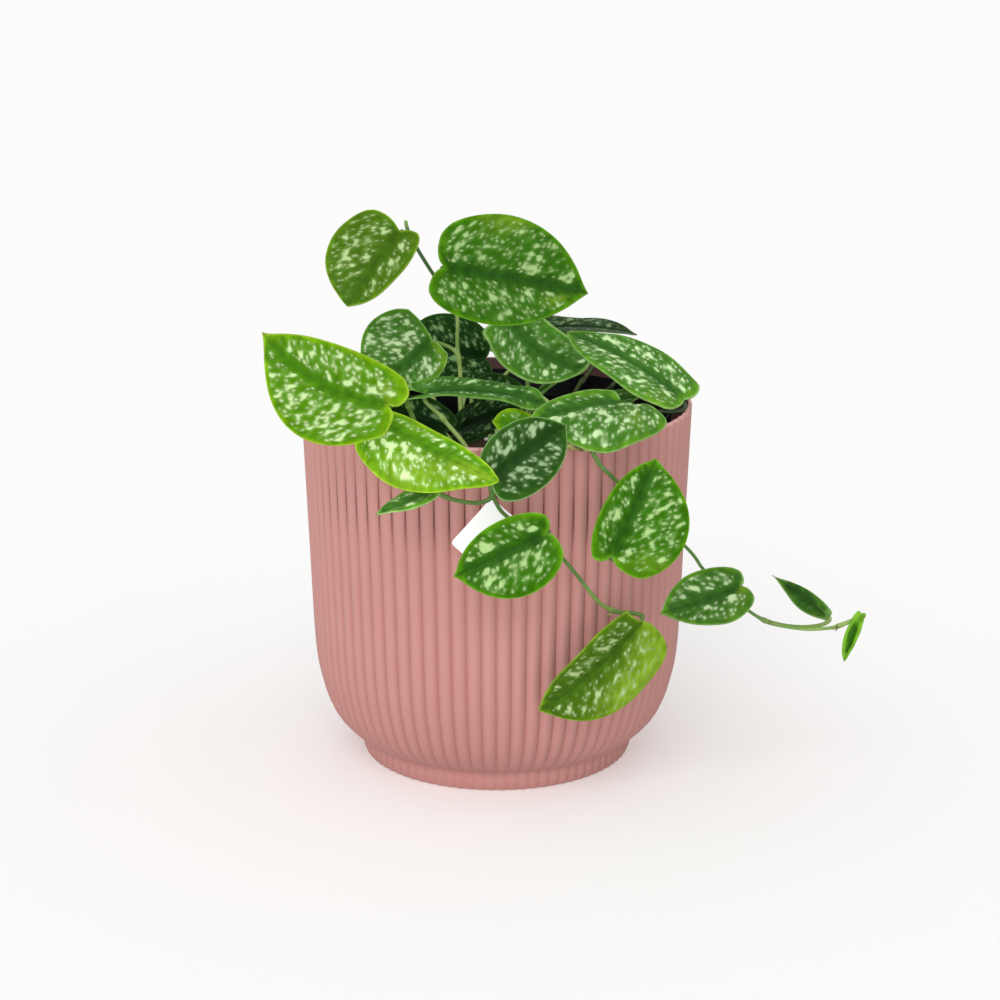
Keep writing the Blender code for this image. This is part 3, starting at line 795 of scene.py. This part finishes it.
def leafFinishes(name, look):
    top = Finish(name + "Top", 0.5, Specular_IOR_Level=0.03)
    seed, glow, cover, tone, edge = top.attributes(
        "seed", "glow", "silverShare", "tone", "edgeWidth")
    start, along, across, ribGap, rimGap = top.attributes(
        "veinStart", "alongBlade", "acrossBlade", "ribGap", "rimGap")
    reach = ribGap / (ribGap + rimGap + 0.1)     # 0 at the midrib, 1 at the margin
    # silver: ragged patches in the middle of each half, and separate spots
    cluster, ragged = silverMarks["cluster"], silverMarks["ragged"]
    (patchLong, patchWide), (spotLong, spotWide) = silverMarks["patch"], silverMarks["spot"]
    slant = along - ribGap * silverMarks["slant"]
    density = top.noise(top.combine(slant / cluster, across / cluster, seed * 4.7), 1.0, 1.0)
    grain = top.noise(top.combine(slant / patchLong, across / patchWide, seed * 7.3),
                      1.0, 0.6, 0.4)
    middle = reach.step(0.08, 0.3) * (1 - reach.step(0.45, 0.85))
    patches = grain + (density - 0.5) * 0.2 + middle * 0.05 + cover * 0.15 - 0.68
    wobble = top.noise(top.combine(slant / ragged, across / ragged, seed * 9.1), 1.0, 1.0, 0.5)
    spots = top.cells(top.combine(slant / spotLong + seed * 3.1 + wobble * 0.55,
                                  across / spotWide + seed * 5.7 - wobble * 0.55, 0.0),
                      1.0, "2D")
    spots = cover * 0.2 + 0.17 + (density - 0.5) * 0.32 + (wobble - 0.5) * 0.3 - spots
    clear = ribGap.step(*silverMarks["ribClear"]) * rimGap.step(*silverMarks["rimClear"]) - 1
    marks = (patches * 2.4).most(spots * 1.3) + clear - glow * 0.12
    silver = marks.step(-0.07, 0.26)
    # green ground, deeper along the midrib and fresher towards the margin
    mottle = top.noise(top.combine(start / 5, across / 6, seed * 2.3), 1.0, 3.0, 0.6)
    ribs = top.node("ShaderNodeMath", {"operation": "COSINE"},
                    [start * (2 * pi / blade["veinGap"])])
    colour = top.mix((ribGap * 0.8 + mottle * 5.0 - ribs * 0.4).step(1.5, 7.5),
                     look["heart"], look["field"])
    colour = top.mix((look["rimWidth"] - rimGap + (mottle - 0.5) * 7.0)
                     .step(0.0, look["rimWidth"]), colour, look["rim"])
    colour = top.mix((glow + (mottle - 0.5) * 0.9 * glow).step(0.05, 0.95), colour,
                     blade["paleGreen"])
    colour = top.mix(marks.step(-0.35, 0.0) * 0.1, colour, look["silver"])
    colour = top.mix(silver, colour, top.mix(marks.step(0.0, 0.4) * (density * 1.4 + 0.3),
                                             [c * 0.66 for c in look["silver"]], look["silver"]))
    colour = top.mix((edge - rimGap).step(0.0, 0.35) * 0.9, colour, look["line"])
    colour = top.mix((0.8 - ribGap).step(0.0, 0.7) * 0.3, colour, [c * 0.7 for c in look["heart"]])
    # tone scales a whole leaf: partly its own brightness, partly painted light and shade
    light = tone * (grain * 0.8 + 0.6)
    top.colour(top.mix(1.0, colour, top.combine(light, light, light), "MULTIPLY"))
    top.rough(silver * 0.10 + mottle * 0.12 + 0.38)
    skin = top.noise(top.combine(start, across, seed), 9.0, 2.0, 0.6)
    top.bump(silver * 0.8 + skin * 0.25 + mottle * 0.5, 0.00010, 0.6)

    under = Finish(name + "Under", 0.55, Specular_IOR_Level=0.35)
    seed, start, across, ribGap = under.attributes("seed", "veinStart", "acrossBlade", "ribGap")
    mottle = under.noise(under.combine(start / 5, across / 5, seed), 1.0, 4.0, 0.6)
    colour = under.mix(mottle.step(0.35, 0.7), look["under"], [c * 1.35 for c in look["under"]])
    colour = under.mix((0.8 - ribGap).step(0.0, 0.7) * 0.7, colour,
                       [c * 1.9 for c in look["under"]])
    under.colour(colour)
    under.rough(mottle * 0.15 + 0.45)
    under.bump(mottle + under.noise(under.combine(start, across, seed), 8.0) * 0.4, 0.00008, 0.5)
    return [top.material, under.material]


def makeLeaves():
    finishes = {look: leafFinishes("leaf" + look.title(), colours)
                for look, colours in leafLooks.items()}
    master = makeMasterBlade()
    for index, (name, spec) in enumerate(leaves.items()):
        piece = copyPiece(master)
        piece.name = "blade_" + name
        shapeBlade(piece.data, spec, index + 1)
        closeSeams(piece)
        out = bladeAxes(spec)[2]
        up = sum(p.normal.dot(out) * p.area for p in piece.data.polygons)
        if up < 0:
            editAll(piece)
            bpy.ops.mesh.flip_normals()
            bpy.ops.object.mode_set(mode="OBJECT")
        for material in finishes[spec["look"]]:
            piece.data.materials.append(material)
        addModifier(piece, "SOLIDIFY", thickness=blade["thickness"] * mm, offset=0.0,
                    use_even_offset=False, material_offset=1, material_offset_rim=0)
        applyModifiers(piece)
        smoothShade(piece, 60)
        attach(piece, "root")
        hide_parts("leaf_" + name)
    bpy.data.objects.remove(master)


makeLeaves()
print("leaves done")


vine = {
    "radius": 1.05,
    "stalkRadius": 0.78,
    "shootRadius": 0.8,
    "taper": 0.16,
    "thickest": 1.65,
    "knot": 0.42,            # how much thicker the vine is where a leaf leaves it
    "knee": 0.30,            # swelling of a stalk just under its blade
    "voxel": 0.30,           # of the mesh that melts vine and stalks together
    "rootsPerKnot": 2,
    "young": (0.30, 0.42, 0.11),
    "field": (0.13, 0.26, 0.04),
    "trailing": (0.06, 0.15, 0.025),
    "old": (0.035, 0.10, 0.025),
    "shadeBehindLeaves": (0.010, 0.020, 0.006),
    "knotColour": (0.30, 0.30, 0.10),
    "rootColour": (0.10, 0.075, 0.03),
}

stems = {
    "crown": dict(
        taper=.3,
        run=[(-12, -2, 112), (-13, -2, 131), (-13, -1, 141), (-14, 0, 151), (-14, 1, 161),
             (-16, 1, 167), (-22, -1, 176), (-28, -2, 186), (-31, -2, 192), (-32, -2, 196)],
        stalks={"crown_1": (-30, -2, 190), "crown_2": (-14.5, 1, 163),
                "left_4": (-13.5, -.5, 146), "inner_4": (-12.5, -2, 124),
                "inner_2": (-12, -2, 114), "low_3": (-12, -2, 110)}),
    "left": dict(
        run=[(-22, -30, 112), (-23, -32, 122), (-27, -39, 130), (-30.5, -42.5, 140)],
        stalks={"left_1": (-30.5, -42.5, 139.5), "left_2": (-23.5, -33, 124)}),
    "inner": dict(
        run=[(-6, -38, 112), (-8, -39, 118), (-11, -38, 124), (-17, -36, 131), (-20, -35, 134.5)],
        stalks={"front_3": (-18.5, -35.5, 133), "inner_1": (-6.5, -38, 114)}),
    "front": dict(
        taper=.3,
        run=[(4, -34, 112), (3, -40, 121), (0, -54, 130), (-2, -64, 133.6), (-2, -69.5, 134.2),
             (-2, -72.6, 131), (-2, -72.6, 120), (1, -72.6, 111), (8, -72.3, 105),
             (17, -72.2, 99), (23, -70, 92), (28, -67, 85), (35, -63, 75), (41, -60, 70.5)],
        stalks={"front_1": (-2, -72.6, 124), "left_3": (-2, -72.6, 118),
                "trail_1": (12, -73.2, 102.3), "trail_2": (39, -60.5, 70.2)}),
    "right": dict(
        taper=.38,
        run=[(14, -30, 112), (16, -36, 121), (22, -48, 128), (27, -58, 132.8),
             (29.5, -64, 133.6), (31, -67.6, 131.6), (32.5, -69, 128.5), (35, -68.6, 124.5),
             (40, -66, 119), (52, -60, 106), (66, -55, 91), (71, -54, 84), (78, -53, 77),
             (86, -51, 69), (95, -49, 63), (107, -47, 60), (116, -46, 60), (120, -45.4, 60.8)],
        stalks={"front_4": (16, -40, 124), "front_2": (22, -48, 128),
                "trail_3": (62, -56.5, 95.5), "trail_4": (80, -52.5, 75),
                "trail_5": (93, -49.4, 64), "trail_6": (119, -45.6, 60.6)}),
    "rim": dict(
        run=[(26, -8, 112), (29, -9, 119), (38, -12, 127), (48, -17, 131), (55, -21, 132)],
        stalks={"right_1": (52, -19.5, 131.8), "right_4": (27.5, -8.5, 116),
                "low_4": (26.5, -8, 113)}),
    "middle": dict(
        run=[(12, 28, 112), (12, 29, 120), (11, 31, 134), (8, 32, 146), (5, 30, 151)],
        stalks={"right_2": (6, 31, 150), "right_3": (11, 31, 133), "inner_3": (12, 28.5, 117)}),
    "back_left": dict(
        run=[(-20, 26, 112), (-22, 28, 120), (-25, 33, 127), (-27, 37, 130)],
        stalks={"back_1": (-24, 31, 124), "back_2": (-26, 35, 128.6), "back_6": (-21, 27, 116)}),
    "back_right": dict(
        run=[(24, 26, 112), (26, 28, 120), (30, 34, 127), (33, 38, 130)],
        stalks={"back_4": (32, 36.5, 129), "back_5": (25, 27, 116), "low_2": (24, 26.5, 113)}),
    "back": dict(
        run=[(0, 32, 112), (-2, 36, 120), (-4, 52, 129), (-6, 64, 133.6), (-7, 69.5, 134.2),
             (-9, 73.4, 130.5), (-12, 74.5, 120), (-14, 75, 108), (-12, 75, 96),
             (-7, 75, 87), (-5, 74.5, 82)],
        stalks={"back_3": (-2.5, 40, 123), "low_1": (-1, 34, 115), "back_7": (-12, 74.5, 119),
                "back_8": (-13.5, 75, 104), "back_9": (-5.6, 74.6, 84)}),
}
# a young leaf, still rolled, that leaves the right-hand stem
shoot = [(15, -38, 122), (20, -41, 131), (18, -37, 138), (11, -30, 142)]
# the old node, with its brown sheath, where the right-hand stem turns down over the rim
sheath = [(19.5, -69.3, 132.6), (25, -70.2, 131.8), (31.5, -69.6, 130.2)]


def tube(points, radii):
    # a round rod of varying thickness along the points, as a mesh
    curve = bpy.data.curves.new("rod", "CURVE")
    curve.dimensions = "3D"
    curve.bevel_depth = mm
    curve.bevel_resolution = 3
    curve.use_fill_caps = True
    path = curve.splines.new("POLY")
    path.points.add(len(points) - 1)
    for slot, point, radius in zip(path.points, points, radii):
        slot.co = (*(Vector(point) * mm), 1.0)
        slot.radius = radius
    rod = bpy.data.objects.new("rod", curve)
    bpy.context.scene.collection.objects.link(rod)
    pick(rod)
    bpy.ops.object.convert(target="MESH")
    return bpy.context.object


def stalkPath(start, heading, spec, steps=22):
    along, _, out = bladeAxes(spec)
    bend = radians(spec["arch"] / 2)
    tiltAlong = along * cos(bend) + out * sin(bend)
    tiltOut = out * cos(bend) - along * sin(bend)
    arrive = (0.8 * tiltOut + 0.6 * tiltAlong).normalized()
    first = Vector(start)
    last = Vector(spec["base"]) - tiltOut * 1.35 - tiltAlong * 0.7
    reach = (last - first).length
    second = first + heading * reach * 0.4
    third = last - arrive * reach * 0.35
    path = []
    for k in range(steps + 1):
        t = k / steps
        path.append(first * (1 - t) ** 3 + 3 * second * t * (1 - t) ** 2
                    + 3 * third * t * t * (1 - t) + last * t ** 3)
    # the end slips under the blade and fades into its midrib
    entry = Vector(spec["base"]) + tiltAlong * 0.9 - tiltOut * 0.62
    path.append(entry)
    path.append(entry + tiltAlong * 1.6 + tiltOut * (0.10 + 1.6 * sin(bend) * 0.2))
    return path


def makeStem(name, spec):
    run = [Vector(p) for p in spec["run"]]
    foot = run[0].copy()
    foot.z = soilTop(sqrt(foot.x ** 2 + foot.y ** 2)) - 2.5
    run = [foot] + run
    count = 8 * (len(run) - 1)
    points = [spline(run, k / count) for k in range(count + 1)]
    far = [0.0]
    for a, b in zip(points, points[1:]):
        far.append(far[-1] + (b - a).length)
    rods, knots = [], []
    for leafName, start in spec["stalks"].items():
        start = Vector(start)
        near = min(range(len(points) - 1), key=lambda k: (points[k] - start).length)
        heading = (points[near + 1] - points[near]).normalized()
        knots.append(far[near])
        path = stalkPath(points[near], heading, leaves[leafName])
        reach = len(path) - 1
        radii = []
        for k in range(len(path)):
            t = k / reach
            size = vine["stalkRadius"] * (1 + 0.35 * (1 - t) ** 6)
            size *= 1 + vine["knee"] * np.exp(-((t - 0.84) / 0.07) ** 2)
            if t > 0.9:
                size *= 1 - 0.55 * (t - 0.9) / 0.1
            radii.append(float(size))
        rods.append(tube(path, radii))
    radii = []
    for place in far:
        thinner = spec.get("taper", vine["taper"]) * smoothstep(0.05, 0.6, place / far[-1])
        size = vine["radius"] * (1 - thinner)
        for knot in knots:
            size *= 1 + vine["knot"] * float(np.exp(-((place - knot) / 1.3) ** 2))
        size *= 1 + 0.25 * float(np.exp(-(place / 3.0) ** 2))
        radii.append(min(size, vine["thickest"]))
    radii[-1] *= 0.7
    rods.append(tube(points, radii))
    if name == "right":
        path = [spline(shoot, k / 20) for k in range(21)]
        rods.append(tube(path, [vine["shootRadius"] * (0.8 + 0.9 * sin(pi * min(1, k / 19)) ** 1.5)
                                if k > 8 else vine["shootRadius"] for k in range(21)]))
    piece = joinPieces(rods, "vine_" + name)
    addModifier(piece, "REMESH", mode="VOXEL", voxel_size=vine["voxel"] * mm)
    addModifier(piece, "SMOOTH", factor=0.5, iterations=4)
    applyModifiers(piece)
    smoothShade(piece)
    return piece


def makeRootlets():
    # short dry roots at the knots of the vines that hang over the rim
    draw = random.Random(11)
    rods = []
    for name in ("front", "right", "back"):
        for start in stems[name]["stalks"].values():
            for _ in range(vine["rootsPerKnot"]):
                place, reach = Vector(start), draw.uniform(1.6, 3.2)
                place += Vector([draw.uniform(-1.5, 1.5) for _ in range(3)]) * 0.5
                side = Vector((draw.uniform(-1, 1), draw.uniform(-1, 0.3), draw.uniform(-1, 0.2)))
                tip = place + side.normalized() * reach
                bent = (place + tip) / 2 + Vector((0, 0, -0.25 * reach))
                rods.append(tube([spline([place, bent, tip], k / 8) for k in range(9)],
                                 [0.28 - 0.018 * k for k in range(9)]))
    rods.append(tube([spline(sheath, k / 12) for k in range(13)],
                     [0.6 + 0.5 * sin(pi * k / 12) for k in range(13)]))
    piece = joinPieces(rods, "aerialRoots")
    smoothShade(piece)
    finish = Finish("dryRoot", 0.7, Specular_IOR_Level=0.2)
    cloud = finish.noise(finish.places(), 400.0, 3.0)
    finish.colour(finish.mix(cloud.step(0.4, 0.6), vine["rootColour"], vine["knotColour"]))
    finish.bump(cloud, 0.0001, 0.6)
    handOver(piece, "stem", finish.material)


def makeStems():
    finish = Finish("vineSkin", 0.5, Specular_IOR_Level=0.4)
    place = finish.places()
    x, y, z = finish.split(place)
    cloud = finish.noise(place, 45.0, 3.0, 0.6)
    fine = finish.noise(place, 700.0, 3.0, 0.6)
    colour = finish.mix(cloud.step(0.35, 0.65), vine["field"], vine["young"])
    colour = finish.mix((fine - 0.5).step(0.05, 0.2) * 0.5, colour, vine["knotColour"])
    # where the vines hang over the rim, at the top of the crown, and behind its leaves (painted
    # shade)
    outside = (0 - y).step(0.0655, 0.0675).most(x.step(0.036, 0.044))
    colour = finish.mix(outside * (1 - x.step(0.085, 0.11)) * 0.85, colour, vine["trailing"])
    top = z.step(0.164, 0.170) * (1 - z.step(0.192, 0.195))
    colour = finish.mix(top * 0.92, colour, vine["old"])
    # painted shade: the stems inside the crown on the right are darkened
    behind = x.step(0.012, 0.02) * y.step(-0.035, -0.02) * (1 - z.step(0.144, 0.152))
    colour = finish.mix(behind * 0.85, colour, vine["shadeBehindLeaves"])
    finish.colour(colour)
    finish.rough(cloud * 0.2 + 0.4)
    finish.bump(fine + cloud, 0.00012, 0.6)
    for name, spec in stems.items():
        handOver(makeStem(name, spec), "stem", finish.material, "stem_" + name)


makeStems()
makeRootlets()
print("stems done")


studio = {
    "floorColours": [(0.93, 0.93, 0.925), (0.95, 0.95, 0.95)],
    "skyColour": (1.0, 1.0, 1.0),
    "skyStrength": 0.62,
    "lamps": {               # from, degrees across, strength, casts shadows
        "keyLamp": ((-0.25, -1.2, 1.2), 34.0, 0.62, True),
        "fillLamp": ((-0.35, -1.25, 0.8), 40.0, 1.76, False),
    },
    "cameraPlace": (0.0012, -0.8725, 0.3419),
    "cameraTilt": 74.1,      # degrees from straight down
    "lens": 90.0,
}


def makeStudio():
    deselectAll()
    bpy.ops.mesh.primitive_plane_add(size=14, location=(0, 0, 0))
    floor = bpy.context.object
    floor.name = floor.data.name = "studioFloor"
    finish = Finish("floorPaper", 0.9, Specular_IOR_Level=0.1)
    tone = finish.noise(finish.places(), 3.0, 2.0)
    finish.colour(finish.mix(tone * 0.1, *studio["floorColours"]))
    floor.data.materials.append(finish.material)

    for name, (place, softness, strength, shadow) in studio["lamps"].items():
        deselectAll()
        bpy.ops.object.light_add(type="SUN", location=place)
        lamp = bpy.context.object
        lamp.name = lamp.data.name = name
        lamp.data.energy, lamp.data.angle = strength, radians(softness)
        lamp.data.use_shadow = shadow
        lamp.rotation_euler = (-Vector(place)).to_track_quat("-Z", "Y").to_euler()

    world = bpy.data.worlds.new("studioSky")
    bpy.context.scene.world = world
    world.use_nodes = True
    sky = world.node_tree.nodes["Background"]
    sky.inputs["Color"].default_value = (*studio["skyColour"], 1.0)
    sky.inputs["Strength"].default_value = studio["skyStrength"]
    bpy.context.scene.view_settings.view_transform = "Standard"

    bpy.ops.object.camera_add(location=studio["cameraPlace"],
                              rotation=(radians(studio["cameraTilt"]), 0, 0))
    camera = bpy.context.object
    camera.name = camera.data.name = "studioCamera"
    camera.data.lens, camera.data.sensor_width = studio["lens"], 36.0
    camera.data.clip_start, camera.data.clip_end = 0.01, 50.0
    bpy.context.scene.camera = camera


makeStudio()
print("studio done")
